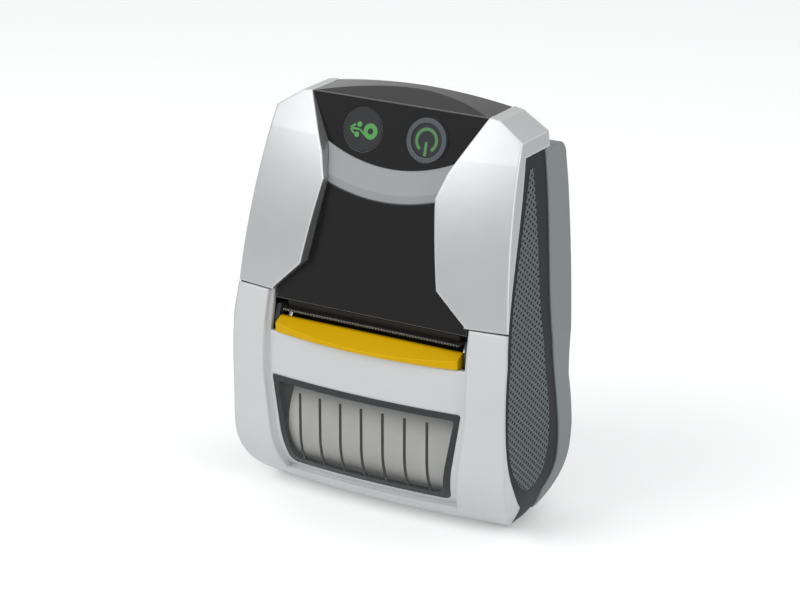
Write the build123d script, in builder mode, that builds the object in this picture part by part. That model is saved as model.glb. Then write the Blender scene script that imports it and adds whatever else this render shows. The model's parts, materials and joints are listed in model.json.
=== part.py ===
"""Portable receipt printer, standing upright on its base.

In the part's own frame +X points to the right of the front view, +Y to the rear and +Z up.
The origin is on the table, in the middle of the footprint. All sizes are in millimetres.
A point of the side view is given by its depth behind the front and its height.
"""
from build123d import *
from math import atan2, cos, degrees, pi, radians, sin, sqrt, tan
import os

# Overall sizes
WIDTH = 96.0
DEPTH = 49.0
HEIGHT = 129.3
FRONT = -DEPTH / 2
REACH = 120.0

# Walls and gaps
WALL = 2.0
PANEL_WALL = 1.7
GAP = 0.4
SEAT_GAP = 0.1
RUN_FIT = 0.04

# Paper roll and the well round it
ROLL_RADIUS = 19.0
ROLL_WIDTH = 57.5
ROLL_DEPTH = 24.0
ROLL_HEIGHT = 24.3
ROLL_GAP = 0.3
CORE_RADIUS = 6.35
CORE_WALL = 1.2
WELL_WALL = 1.0
WELL_END = 1.4

# Front form
BOW_RADIUS = 270.0
COVER_RADIUS = 24.9
COVER_DEPTH = 24.2
SEAM_DEPTH = 2.4
SEAM_HEIGHT = 68.0
FOOT_HALF = 41.5

# Front panel of the cover and its window
RECESS = 1.9
RECESS_HALF = 34.2
SLOT_FLOOR = 54.7
WINDOW_TOP = 40.9
WINDOW_HALF = 33.4
WINDOW_BASE = 11.2
WINDOW_BASE_HALF = 28.6
WINDOW_FRAME = 2.2
WINDOW_WALL = 1.5
RIB_COUNT = 7
RIB_PITCH = 7.5
RIB_WIDTH = 0.8

# Fascia
LIP_DEPTH = 6.3
LIP_HEIGHT = 64.9
BAND_LOW = (14.0, 101.0)
BAND_HIGH = (18.6, 107.9)
CREASE = (23.9, 126.6)
BAND_RADIUS = 158.0
BAND_THICKNESS = 0.9
FASCIA_WALL = 2.0
CHEEK_RIM = 5.0
REAR_EDGE = 38.7
LEDGE_HEIGHT = 116.2

# Buttons
BUTTON_X = 11.2
BUTTON_HEIGHT = 117.6
FEED_RADIUS = 6.5
POWER_RADIUS = 6.7
POWER_DISC_RADIUS = 5.2
BUTTON_GAP = 0.15
BUTTON_TRAVEL = 0.6
FLANGE_WIDTH = 0.9
FLANGE_WALL = 0.6

# Cover hinge
HINGE_DEPTH = 25.5
HINGE_HEIGHT = 4.4
KNUCKLE_RADIUS = 3.2
HINGE_PIN_RADIUS = 1.2
KNUCKLE_START = 32.6
KNUCKLE_END = 37.6
EAR_WALL = 1.6
LIP_RADIUS = 7.3

# Platen and its drive
PLATEN_DEPTH = 12.2
PLATEN_HEIGHT = 51.5
PLATEN_RADIUS = 5.0
SHAFT_RADIUS = 1.5
BUSH_RADIUS = 3.0
PLATEN_HALF = 28.4
CHASSIS_X = 30.2
CHASSIS_WALL = 1.2
FRAME_X = 32.5
FRAME_WALL = 1.5
GEAR_X = 34.7
GEAR_WIDTH = 3.0
MODULE = 0.5
PLATEN_TEETH = 24
IDLER_TEETH = 20
PINION_TEETH = 12
BACKLASH = 0.12
MOTOR_RADIUS = 7.5
MOTOR_LENGTH = 16.0
PINION_ANGLE = 26.0

# Lever
LEVER_HALF = 31.9
LEVER_BOW = 151.0
LEVER_TOP = (6.2, 59.2)
LEVER_FLOOR = 54.9
LEVER_PIVOT = (7.2, 53.2)
LEVER_PIN_RADIUS = 0.8
LEVER_EAR_RADIUS = 1.8
LEVER_EAR_WALL = 1.4

# Battery
BATTERY_HALF = 33.6
BATTERY_LOW = 68.6
BATTERY_HIGH = 104.0
BATTERY_DEPTH = 35.6
BAY_GAP = 0.3
BAY_WALL = 1.4
LATCH_HALF = 9.0
LATCH_LOW = 106.6
LATCH_HIGH = 111.0
LATCH_TRAVEL = 2.0

# Main board
BOARD_HALF = 37.0
BOARD_DEPTH = 32.2
BOARD_THICKNESS = 1.4
BOARD_LOW = 66.5
BOARD_HIGH = 113.0

# Port and its flap on the left side
FLAP_X = 45.4
FLAP_FRONT = 38.6
FLAP_REAR = 44.6
FLAP_LOW = 84.0
FLAP_HIGH = 102.0
FLAP_WALL = 1.5

os.makedirs("parts", exist_ok=True)


def side(depth, height):
    """A point of the side view, as the sketch planes along X see it."""
    return (FRONT + depth, height)


def write(name, label):
    """Label a finished piece and write it as a STEP file."""
    name.part.label = label
    export_step(name.part, f"parts/{label}.step")
    print(label, len(name.part.solids()), round(name.part.volume, 1))


def write_both(name, label):
    """Write a piece of the right side, and its mirror image for the left."""
    write(name, f"right_{label}")
    with BuildPart() as other:
        add(mirror(name.part, about=Plane.YZ, mode=Mode.PRIVATE))
    write(other, f"left_{label}")


def moved(x, y, heading, inset):
    """A point of an outline, moved inwards by inset along its heading in degrees."""
    return (x + inset * cos(radians(heading)), y + inset * sin(radians(heading)))


def rear_outline(inset):
    """Side view of all that lies behind the back, from below the base to above the top."""
    toe = side(*moved(32, 1.2, 150, inset))
    base = Line(side(160, -30), (toe[0], -30))
    rise = Line(base @ 1, toe)
    bulge = ThreePointArc(rise @ 1, side(*moved(42.4, 11.2, 135, inset)), side(*moved(47.2, 26, 180, inset)))
    hollow = ThreePointArc(bulge @ 1, side(*moved(46.4, 34, 192, inset)), side(*moved(44.4, 43, 188, inset)))
    waist = ThreePointArc(hollow @ 1, side(*moved(44.6, 52, 180, inset)), side(*moved(45.6, 60, 174, inset)))
    back = ThreePointArc(waist @ 1, side(*moved(48.2, 84, 176, inset)), side(*moved(DEPTH, 104, 180, inset)))
    shoulder = Line(back @ 1, side(*moved(DEPTH - 0.3, 111, 190, inset)))
    corner = ThreePointArc(
        shoulder @ 1, side(*moved(47.6, 114.8, 225, inset)), side(*moved(44.6, LEDGE_HEIGHT, 270, inset))
    )
    ledge = Line(corner @ 1, side(REAR_EDGE - inset, LEDGE_HEIGHT - inset))
    wall = Line(ledge @ 1, side(REAR_EDGE - inset, 160))
    far = Line(wall @ 1, side(160, 160))
    Line(far @ 1, base @ 0)


def front_outline(inset):
    """Half of the front view, from the top centre round to the bottom centre."""
    top = ThreePointArc(
        (0, HEIGHT - inset), (17, HEIGHT - 0.8 - inset), moved(34, HEIGHT - 3.0, 252, inset)
    )
    shoulder = Line(top @ 1, moved(42.4, 121.0, 212, inset * 1.15))
    flank = Line(shoulder @ 1, moved(WIDTH / 2, 58, 182, inset))
    upright = Line(flank @ 1, moved(WIDTH / 2, 20, 180, inset))
    corner = ThreePointArc(
        upright @ 1, moved(46.3, 8.8, 155, inset), moved(FOOT_HALF, 0, 130, inset * 1.3)
    )
    Line(corner @ 1, (0, inset))


def front_profile(inset):
    """Side view of the front at mid width, closed far behind and below the printer."""
    radius = COVER_RADIUS - inset
    lower = ThreePointArc(
        side(COVER_DEPTH, ROLL_HEIGHT - radius),
        side(COVER_DEPTH - radius * sin(pi / 4), ROLL_HEIGHT - radius * cos(pi / 4)),
        side(COVER_DEPTH - radius, ROLL_HEIGHT),
    )
    upright = Line(lower @ 1, side(COVER_DEPTH - radius, 45))
    cover = ThreePointArc(
        upright @ 1, side(*moved(0.15, 56.5, -8, inset)), side(*moved(SEAM_DEPTH, SEAM_HEIGHT, -15, inset))
    )
    cheek = ThreePointArc(cover @ 1, side(*moved(8.0, 95, -17, inset)), side(*moved(15.6, 115, -23, inset)))
    brow = Line(cheek @ 1, side(*moved(21.8, 127, -55, inset * 1.2)))
    top = Line(brow @ 1, side(37, 130.4 - inset))
    back = Line(top @ 1, side(90, 130.4 - inset))
    down = Line(back @ 1, side(90, -12))
    Line(down @ 1, lower @ 0)


def body_form(inset):
    """The printer's whole outer form, its surface moved inwards by inset."""
    half_angle = 14
    across = Vector(sin(radians(half_angle)), cos(radians(half_angle)), 0)
    axis_point = Vector(0, FRONT + BOW_RADIUS, 0)
    start = Plane(
        origin=axis_point - across * (FRONT + BOW_RADIUS),
        x_dir=across,
        z_dir=Vector(across.Y, -across.X, 0),
    )
    with BuildPart() as form:
        with BuildSketch(start):
            with BuildLine():
                front_profile(inset)
            make_face()
        revolve(axis=Axis(axis_point, (0, 0, 1)), revolution_arc=2 * half_angle)
        with BuildSketch(Plane.XZ.offset(-REACH)):
            with BuildLine():
                front_outline(inset)
                mirror(about=Plane.YZ)
            make_face()
        extrude(amount=2 * REACH, mode=Mode.INTERSECT)
        with BuildSketch(Plane.YZ.offset(-REACH)):
            with BuildLine():
                rear_outline(inset)
            make_face()
        extrude(amount=2 * REACH, mode=Mode.SUBTRACT)
    return form.part


def fascia_outline():
    """Half of the fascia in the front view, with its foot left open below the lip."""
    Polyline(
        (0, 140),
        (38.6, 140),
        (29.7, CREASE[1] - 1.6),
        (21.9, 111.0),
        (19.4, 103.5),
        (23.8, 77.8),
        (33.4, SEAM_HEIGHT + 0.6),
        (34.2, 30),
        (0, 30),
    )


def band_plane():
    """Plane square to the slope of the light band, through its lowest point."""
    slope = Vector(0, BAND_HIGH[0] - BAND_LOW[0], BAND_HIGH[1] - BAND_LOW[1]).normalized()
    return Plane(origin=(0, FRONT + BAND_LOW[0], BAND_LOW[1]), x_dir=(1, 0, 0), z_dir=slope)


def below_band(drop):
    """Prism of all that lies under the smile-shaped step, lowered by drop."""
    half = 40.0
    rise = BAND_RADIUS - sqrt(BAND_RADIUS**2 - half**2)
    with BuildPart() as prism:
        with BuildSketch(band_plane()):
            with BuildLine():
                arc = ThreePointArc((-half, drop - rise), (0, drop), (half, drop - rise))
                right = Line(arc @ 1, (half, 70))
                floor = Line(right @ 1, (-half, 70))
                Line(floor @ 1, arc @ 0)
            make_face()
        extrude(amount=60, both=True)
    return prism.part


def lean(low, high, height):
    """Depth at a height on the line between two points of the side view."""
    return low[0] + (high[0] - low[0]) * (height - low[1]) / (high[1] - low[1])


def button_plane(x):
    """Plane on the button panel, at a button's centre, facing out."""
    run = Vector(0, CREASE[0] - BAND_HIGH[0], CREASE[1] - BAND_HIGH[1]).normalized()
    outward = Vector(0, -run.Z, run.Y)
    depth = lean(BAND_HIGH, CREASE, BUTTON_HEIGHT)
    return Plane(origin=(x, FRONT + depth, BUTTON_HEIGHT), x_dir=(1, 0, 0), z_dir=outward)


def side_border(spread):
    """Front border of the side frame, from the top down to its foot, moved forward by spread."""
    return Spline(
        side(24.1 - spread, 116.0 + spread),
        side(13.6 - spread, 86.5),
        side(6.1 - spread, 62.9),
        side(4.4 - spread, 44),
        side(6.7 - spread, 25.3),
        side(18.0 - 0.7 * spread, 8.5 - 0.7 * spread),
    )


def side_outline(spread):
    """Closed outline of the side frame with its foot, grown by spread."""
    front = side_border(spread)
    foot = Polyline(front @ 1, side(18.2 - spread, 3.0), side(20.5 - spread, -spread), side(28.5, -spread))
    heel = Polyline(foot @ 1, side(30.6 + spread, 2.6), side(30.6 + spread, 9.2))
    rear = Spline(
        heel @ 1,
        side(37.6 + spread, 19),
        side(37.4 + spread, 33),
        side(33.3 + spread, 56),
        side(34.6 + spread, 87),
        side(35.7 + spread, 116.0 + spread),
    )
    Line(rear @ 1, front @ 0)


def side_prism(spread):
    """Everything inside the side frame's outline, right across the printer."""
    with BuildPart() as prism:
        with BuildSketch(Plane.YZ.offset(-REACH)):
            with BuildLine():
                side_outline(spread)
            make_face()
        extrude(amount=2 * REACH)
    return prism.part


def box(x, depth, height):
    """A plain block between pairs of X, depth and height, for cutting."""
    middle = Pos((x[0] + x[1]) / 2, FRONT + (depth[0] + depth[1]) / 2, (height[0] + height[1]) / 2)
    return middle * Box(x[1] - x[0], depth[1] - depth[0], height[1] - height[0], mode=Mode.PRIVATE)


def rod(depth, height, radius, start, end):
    """A cylinder along X between two places, for adding or cutting."""
    middle = Pos((start + end) / 2, FRONT + depth, height) * Rot(0, 90, 0)
    return middle * Cylinder(radius, end - start, mode=Mode.PRIVATE)


outer_form = body_form(0)
wall_form = body_form(WALL)
recess_form = body_form(RECESS)
panel_form = body_form(RECESS + PANEL_WALL)
rim_form = body_form(CHEEK_RIM)
skin_form = body_form(0.1)
cap_form = body_form(0.3)
bed_form = body_form(1.4)
grip_form = body_form(0.15)
frame_inner = body_form(3.4)
pane_outer = body_form(RECESS + 0.1)
pane_inner = body_form(RECESS + WINDOW_WALL)
rib_form = body_form(RECESS - 0.2)
band_floor = below_band(BAND_THICKNESS)
band_face = below_band(0)
side_region = side_prism(0)
side_cut = side_prism(GAP)

# Cheeks: shells beside the fascia, each with a bevelled rim that runs down to it
with BuildPart() as fascia_cutter:
    with BuildSketch(Plane.XZ.offset(-REACH)):
        with BuildLine():
            fascia_outline()
            mirror(about=Plane.YZ)
        make_face()
    extrude(amount=2 * REACH)
with BuildPart() as rim_region:
    with BuildSketch(Plane.XZ.offset(-REACH)):
        with BuildLine():
            fascia_outline()
            mirror(about=Plane.YZ)
        make_face()
        offset(amount=4.2, kind=Kind.INTERSECTION)
    extrude(amount=2 * REACH)
with BuildPart() as right_cheek:
    add(outer_form)
    add(box((0, 60), (-10, REAR_EDGE), (SEAM_HEIGHT, 140)), mode=Mode.INTERSECT)
    add(rim_form, mode=Mode.SUBTRACT)
    add(fascia_cutter.part, mode=Mode.SUBTRACT)
    add(wall_form - rim_region.part, mode=Mode.SUBTRACT)
    add(side_cut, mode=Mode.SUBTRACT)
    add(box((0, 60), (32, 60), (0, LEDGE_HEIGHT + 0.2)), mode=Mode.SUBTRACT)
write_both(right_cheek, "cheek")

# Fascia: the black lower plate and button panel, joined by the step that carries the light band
with BuildPart() as fascia_region:
    with BuildSketch(Plane.XZ.offset(-REACH)):
        with BuildLine():
            fascia_outline()
            mirror(about=Plane.YZ)
        make_face()
        offset(amount=-SEAT_GAP, kind=Kind.INTERSECTION)
    extrude(amount=2 * REACH)
panel_run = (CREASE[0] - BAND_HIGH[0]) / (CREASE[1] - BAND_HIGH[1])
wall_run = FASCIA_WALL / cos(atan2(panel_run, 1))
with BuildPart() as fascia:
    with BuildSketch(Plane.YZ.offset(-REACH)):
        with BuildLine():
            Polyline(
                side(LIP_DEPTH, LIP_HEIGHT),
                side(lean((LIP_DEPTH, LIP_HEIGHT), BAND_LOW, 113), 113),
                side(lean(BAND_HIGH, CREASE, 113) + wall_run, 113),
                side(BAND_LOW[0] + wall_run, BAND_LOW[1] - 1.0),
                side(LIP_DEPTH + wall_run, LIP_HEIGHT),
                close=True,
            )
        make_face()
    extrude(amount=2 * REACH)
    add(band_floor, mode=Mode.INTERSECT)
    with BuildSketch(Plane.YZ.offset(-REACH)):
        with BuildLine():
            Polyline(
                side(lean(BAND_HIGH, CREASE, 103), 103),
                side(*CREASE),
                side(CREASE[0] + wall_run, CREASE[1]),
                side(lean(BAND_HIGH, CREASE, 103) + wall_run, 103),
                close=True,
            )
        make_face()
    extrude(amount=2 * REACH)
    add(fascia_region.part, mode=Mode.INTERSECT)
    add(skin_form, mode=Mode.INTERSECT)
    for x, radius in ((-BUTTON_X, FEED_RADIUS), (BUTTON_X, POWER_RADIUS)):
        with Locations(button_plane(x)):
            Cylinder(radius + BUTTON_GAP, 12, mode=Mode.SUBTRACT)
write(fascia, "fascia")

with BuildPart() as light_band:
    with BuildSketch(Plane.YZ.offset(-REACH)):
        with BuildLine():
            Polyline(
                side(lean((LIP_DEPTH, LIP_HEIGHT), BAND_LOW, 98) + 0.1, 98),
                side(lean((LIP_DEPTH, LIP_HEIGHT), BAND_LOW, 114) + 0.1, 114),
                side(lean(BAND_HIGH, CREASE, 114) - 0.05, 114),
                side(lean(BAND_HIGH, CREASE, 98) - 0.05, 98),
                close=True,
            )
        make_face()
    extrude(amount=2 * REACH)
    add(band_face, mode=Mode.INTERSECT)
    add(band_floor, mode=Mode.SUBTRACT)
    add(fascia_region.part, mode=Mode.INTERSECT)
write(light_band, "light_band")

# Top cap: the black roof between the cheeks, from the crease to the rear wall
with BuildPart() as top_cap:
    add(cap_form)
    add(box((-60, 60), (-10, REAR_EDGE), (116.6, 140)), mode=Mode.INTERSECT)
    with BuildSketch(Plane.YZ.offset(-REACH)):
        with BuildLine():
            Polyline(
                side(CREASE[0] + 0.1, CREASE[1] + 0.05),
                side(37, HEIGHT + 0.4),
                side(70, HEIGHT + 0.4),
                side(70, 60),
                side(CREASE[0] + wall_run + 0.1, 60),
                side(CREASE[0] + wall_run + 0.1, CREASE[1] + 0.05),
                close=True,
            )
        make_face()
    extrude(amount=2 * REACH, mode=Mode.INTERSECT)
    add(box((-28, 28), (10, REAR_EDGE - WALL - 0.3), (100, CREASE[1] - 1.3)), mode=Mode.SUBTRACT)
    with BuildSketch(Plane.XZ.offset(-REACH)):
        with BuildLine():
            Polyline((23.6, 100), (23.6, 114.8), (29.3, 125.1), (38.1, 139.9), (80, 140), (80, 100), close=True)
        make_face()
        mirror(about=Plane.YZ)
    extrude(amount=2 * REACH, mode=Mode.SUBTRACT)
write(top_cap, "top_cap")

# Side frames: dark plates let into the sides, each with a shallow bed for its grip
frame_form = cap_form
with BuildPart() as grip_prism:
    with BuildSketch(Plane.YZ.offset(-REACH)):
        with BuildLine():
            grip_front = Spline(
                side(26.2, 112.5),
                side(15.6, 86.5),
                side(7.8, 62.9),
                side(5.9, 44),
                side(8.4, 25.3),
                side(18.3, 13.9),
            )
            grip_rear = Spline(
                grip_front @ 1,
                side(26.6, 15.4),
                side(32.2, 27),
                side(30.2, 45),
                side(27.6, 62),
                side(28.4, 100),
                side(28.0, 112.5),
            )
            Line(grip_rear @ 1, grip_front @ 0)
        make_face()
    extrude(amount=2 * REACH)
with BuildPart() as right_side_frame:
    add(frame_form)
    add(side_region, mode=Mode.INTERSECT)
    add(frame_inner, mode=Mode.SUBTRACT)
    add(box((39.8, 60), (-10, 60), (-5, 118.4)), mode=Mode.INTERSECT)
    add(grip_prism.part & (outer_form - bed_form), mode=Mode.SUBTRACT)
write_both(right_side_frame, "side_frame")

with BuildPart() as right_grip:
    add(grip_form)
    add(grip_prism.part, mode=Mode.INTERSECT)
    add(bed_form, mode=Mode.SUBTRACT)
    add(box((39.8, 60), (-10, 60), (-5, 140)), mode=Mode.INTERSECT)
write_both(right_grip, "grip")

# Rear housing: the grey shell behind the side frames, with a bay for the battery
latch_slot = box((-LATCH_HALF - 0.3, LATCH_HALF + 0.3), (40, 70), (LATCH_LOW - 0.3, LATCH_HIGH + LATCH_TRAVEL + 0.2))
flap_hole = box((-60, -30), (FLAP_FRONT - 0.6, FLAP_REAR + 0.3), (FLAP_LOW - 0.3, FLAP_HIGH + 0.3))
flap_hinge = Pos(-FLAP_X, FRONT + FLAP_REAR, (FLAP_LOW + FLAP_HIGH) / 2) * Cylinder(
    FLAP_WALL + 0.5, FLAP_HIGH - FLAP_LOW + 0.6
)
with BuildPart() as bay:
    add(
        box(
            (-BATTERY_HALF - BAY_GAP, BATTERY_HALF + BAY_GAP),
            (BATTERY_DEPTH - BAY_GAP, 70),
            (BATTERY_LOW - BAY_GAP, BATTERY_HIGH + BAY_GAP),
        )
    )
with BuildPart() as rear_housing:
    add(outer_form)
    add(wall_form, mode=Mode.SUBTRACT)
    add(
        box(
            (-BATTERY_HALF - BAY_GAP - BAY_WALL, BATTERY_HALF + BAY_GAP + BAY_WALL),
            (BATTERY_DEPTH - BAY_GAP - BAY_WALL, REAR_EDGE + 7),
            (BATTERY_LOW - BAY_GAP - BAY_WALL, BATTERY_HIGH + BAY_GAP + BAY_WALL),
        )
    )
    add(bay.part, mode=Mode.SUBTRACT)
    add(latch_slot, mode=Mode.SUBTRACT)
    add(flap_hole, mode=Mode.SUBTRACT)
    add(flap_hinge, mode=Mode.SUBTRACT)
    add(side_cut, mode=Mode.SUBTRACT)
    with BuildSketch(Plane.YZ.offset(-REACH)):
        with BuildLine():
            Polyline(
                side(31.2, 2.4),
                side(31.2, 9),
                side(36, 20),
                side(33.4, 56),
                side(33.4, 64),
                side(33.4, 116.3),
                side(80, 116.3),
                side(80, 2.4),
                close=True,
            )
        make_face()
    extrude(amount=2 * REACH, mode=Mode.INTERSECT)
write(rear_housing, "rear_housing")

with BuildPart() as battery_pack:
    add(outer_form)
    add(
        box((-BATTERY_HALF, BATTERY_HALF), (BATTERY_DEPTH, 70), (BATTERY_LOW, BATTERY_HIGH)),
        mode=Mode.INTERSECT,
    )
write(battery_pack, "battery_pack")

# Base plate, with the fixed ears of the cover hinge
with BuildPart() as base_plate:
    add(outer_form)
    add(box((-39.4, 39.4), (10, 33.5), (-1, 2.2)), mode=Mode.INTERSECT)
    for x in (KNUCKLE_START - 0.25 - EAR_WALL, KNUCKLE_END + 0.25):
        for start in (x, -x - EAR_WALL):
            add(rod(HINGE_DEPTH, HINGE_HEIGHT, KNUCKLE_RADIUS, start, start + EAR_WALL))
            add(box((start, start + EAR_WALL), (HINGE_DEPTH, HINGE_DEPTH + 5.6), (1, HINGE_HEIGHT + 1)))
    for start in (KNUCKLE_START - 0.25, -KNUCKLE_END - 0.25):
        add(
            box((start, start + KNUCKLE_END - KNUCKLE_START + 0.5), (0, HINGE_DEPTH + KNUCKLE_RADIUS + 0.4), (-2, 9)),
            mode=Mode.SUBTRACT,
        )
    add(rod(HINGE_DEPTH, HINGE_HEIGHT, HINGE_PIN_RADIUS, -60, 60), mode=Mode.SUBTRACT)
    with BuildSketch(Plane.YZ.offset(-REACH)):
        with BuildLine():
            Polyline(
                side(0, -5),
                side(0, HINGE_HEIGHT),
                side(HINGE_DEPTH, HINGE_HEIGHT),
                side(HINGE_DEPTH, -5),
                close=True,
            )
        make_face()
        with Locations(side(HINGE_DEPTH, HINGE_HEIGHT)):
            Circle(LIP_RADIUS - 0.2, mode=Mode.SUBTRACT)
    extrude(amount=2 * REACH, mode=Mode.SUBTRACT)
write(base_plate, "base_plate")

with BuildPart() as hinge_pins:
    for sign in (1, -1):
        ends = sorted((sign * (KNUCKLE_START - EAR_WALL - 0.4), sign * (KNUCKLE_END + EAR_WALL + 0.4)))
        add(rod(HINGE_DEPTH, HINGE_HEIGHT, HINGE_PIN_RADIUS, *ends))
write(hinge_pins, "hinge_pins")

# Media well: the trough and ends that hold the roll
with BuildPart() as media_well:
    well_radius = ROLL_RADIUS + ROLL_GAP
    well_half = ROLL_WIDTH / 2 + 0.35
    add(rod(ROLL_DEPTH, ROLL_HEIGHT, well_radius + WELL_WALL, -well_half - WELL_END, well_half + WELL_END))
    add(rod(ROLL_DEPTH, ROLL_HEIGHT, well_radius, -well_half, well_half), mode=Mode.SUBTRACT)
    with BuildSketch(Plane.YZ.offset(-REACH)):
        with BuildLine():
            Polyline(
                side(HINGE_DEPTH - LIP_RADIUS + 0.6, -5),
                side(HINGE_DEPTH - LIP_RADIUS + 0.6, 14),
                side(26, 34),
                side(26, 60),
                side(60, 60),
                side(60, -5),
                close=True,
            )
        make_face()
    extrude(amount=2 * REACH, mode=Mode.INTERSECT)
write(media_well, "media_well")

# Paper roll and its core
with BuildPart() as paper_roll:
    add(rod(ROLL_DEPTH, ROLL_HEIGHT, ROLL_RADIUS, -ROLL_WIDTH / 2, ROLL_WIDTH / 2))
    add(rod(ROLL_DEPTH, ROLL_HEIGHT, CORE_RADIUS + CORE_WALL, -60, 60), mode=Mode.SUBTRACT)
write(paper_roll, "paper_roll")
with BuildPart() as roll_core:
    add(rod(ROLL_DEPTH, ROLL_HEIGHT, CORE_RADIUS + CORE_WALL, -ROLL_WIDTH / 2, ROLL_WIDTH / 2))
    add(rod(ROLL_DEPTH, ROLL_HEIGHT, CORE_RADIUS, -60, 60), mode=Mode.SUBTRACT)
write(roll_core, "roll_core")

# Media cover: pillars, sunk front panel, window opening, lower lip and hinge knuckles


def cover_outline():
    """Half of the sunk panel in the front view, from above the cover down to below the window."""
    Polyline(
        (0, 90),
        (RECESS_HALF, 90),
        (RECESS_HALF, WINDOW_TOP + 1),
        (WINDOW_BASE_HALF + 1.6, WINDOW_BASE - 2.0),
        (0, WINDOW_BASE - 2.0),
    )


def window_outline(inset):
    """Half of the window in the front view."""
    Polyline(
        (0, WINDOW_TOP - inset),
        (WINDOW_HALF - inset, WINDOW_TOP - inset),
        (WINDOW_BASE_HALF - inset, WINDOW_BASE + inset),
        (0, WINDOW_BASE + inset),
    )


def window_prism(inset):
    """Prism through the window with rounded lower corners."""
    with BuildPart() as prism:
        with BuildSketch(Plane.XZ.offset(-FRONT - 20)) as opening:
            with BuildLine():
                window_outline(inset)
                mirror(about=Plane.YZ)
            make_face()
            fillet(opening.vertices().sort_by(Axis.Y)[:2], 3.0)
            fillet(opening.vertices().sort_by(Axis.Y)[-2:], 0.8)
        extrude(amount=40)
    return prism.part


window_hole = window_prism(0)
window_edge = window_prism(SEAT_GAP)
window_clear = window_prism(WINDOW_FRAME)
with BuildPart() as panel_region:
    with BuildSketch(Plane.XZ.offset(-FRONT - 9)):
        with BuildLine():
            cover_outline()
            mirror(about=Plane.YZ)
        make_face()
    extrude(amount=16, taper=-11)
with BuildPart() as media_cover:
    add(outer_form)
    add(box((-60, 60), (-10, HINGE_DEPTH), (0.25, SEAM_HEIGHT - 0.5)), mode=Mode.INTERSECT)
    add(panel_region.part & (outer_form - recess_form), mode=Mode.SUBTRACT)
    add(panel_form, mode=Mode.SUBTRACT)
    add(wall_form & box((RECESS_HALF + 2.4, 60), (-10, 60), (-10, 140)), mode=Mode.SUBTRACT)
    add(wall_form & box((-60, -RECESS_HALF - 2.4), (-10, 60), (-10, 140)), mode=Mode.SUBTRACT)
    add(box((-34.2, 34.2), (-10, 60), (SLOT_FLOOR, 140)), mode=Mode.SUBTRACT)
    add(window_hole, mode=Mode.SUBTRACT)
    add(side_cut & box((39.4, 60), (-10, 60), (-10, 140)), mode=Mode.SUBTRACT)
    add(side_cut & box((-60, -39.4), (-10, 60), (-10, 140)), mode=Mode.SUBTRACT)
    with BuildSketch(Plane.YZ.offset(-REACH)):
        with Locations(side(HINGE_DEPTH, HINGE_HEIGHT)):
            Circle(LIP_RADIUS + 0.2)
    extrude(amount=2 * REACH, mode=Mode.SUBTRACT)
    for start in (KNUCKLE_START, -KNUCKLE_END):
        end = start + KNUCKLE_END - KNUCKLE_START
        add(rod(HINGE_DEPTH, HINGE_HEIGHT, KNUCKLE_RADIUS, start, end))
        add(box((start, end), (HINGE_DEPTH - LIP_RADIUS - 2.0, HINGE_DEPTH), (HINGE_HEIGHT - 2.2, HINGE_HEIGHT + 0.4)))
    add(rod(HINGE_DEPTH, HINGE_HEIGHT, HINGE_PIN_RADIUS + RUN_FIT, -60, 60), mode=Mode.SUBTRACT)
write(media_cover, "media_cover")

with BuildPart() as window_frame:
    add(recess_form)
    add(panel_form, mode=Mode.SUBTRACT)
    add(window_edge, mode=Mode.INTERSECT)
    add(window_clear, mode=Mode.SUBTRACT)
write(window_frame, "window_frame")

with BuildPart() as media_window:
    add(pane_outer)
    add(pane_inner, mode=Mode.SUBTRACT)
    add(window_clear, mode=Mode.INTERSECT)
write(media_window, "media_window")

with BuildPart() as window_ribs:
    for number in range(RIB_COUNT):
        x = (number - (RIB_COUNT - 1) / 2) * RIB_PITCH
        add(box((x - RIB_WIDTH / 2, x + RIB_WIDTH / 2), (-10, 20), (WINDOW_BASE + 2.6, WINDOW_TOP - 4.2)))
    add(rib_form, mode=Mode.INTERSECT)
    add(pane_outer, mode=Mode.SUBTRACT)
write(window_ribs, "window_ribs")

# Platen frame inside the cover, with the platen's bushes and the lever's pins
with BuildPart() as platen_frame:
    with BuildSketch(Plane.YZ.offset(FRAME_X)):
        with BuildLine():
            Polyline(
                side(6.0, 41.5),
                side(6.0, 58),
                side(7.6, 62.5),
                side(12.5, 62.5),
                side(16.2, 56),
                side(16.2, 44),
                side(14, 41.5),
                close=True,
            )
        make_face()
    extrude(amount=FRAME_WALL)
    mirror(about=Plane.YZ)
    add(box((-FRAME_X - FRAME_WALL, FRAME_X + FRAME_WALL), (6.4, 13.0), (41.5, 44.5)))
    add(rod(PLATEN_DEPTH, PLATEN_HEIGHT, BUSH_RADIUS + 0.01, -60, 60), mode=Mode.SUBTRACT)
    add(rod(*LEVER_PIVOT, LEVER_PIN_RADIUS, -60, 60), mode=Mode.SUBTRACT)
write(platen_frame, "platen_frame")

with BuildPart() as platen_bushes:
    for start in (CHASSIS_X - 0.8, -FRAME_X - FRAME_WALL - 0.3):
        end = start + FRAME_X + FRAME_WALL + 0.3 - CHASSIS_X + 0.8
        add(rod(PLATEN_DEPTH, PLATEN_HEIGHT, BUSH_RADIUS, start, end))
    add(rod(PLATEN_DEPTH, PLATEN_HEIGHT, SHAFT_RADIUS + RUN_FIT, -60, 60), mode=Mode.SUBTRACT)
write(platen_bushes, "platen_bushes")

with BuildPart() as lever_pins:
    for sign in (1, -1):
        ends = sorted((sign * (LEVER_HALF - LEVER_EAR_WALL - 0.3), sign * (FRAME_X + FRAME_WALL)))
        add(rod(*LEVER_PIVOT, LEVER_PIN_RADIUS, *ends))
write(lever_pins, "lever_pins")

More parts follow.
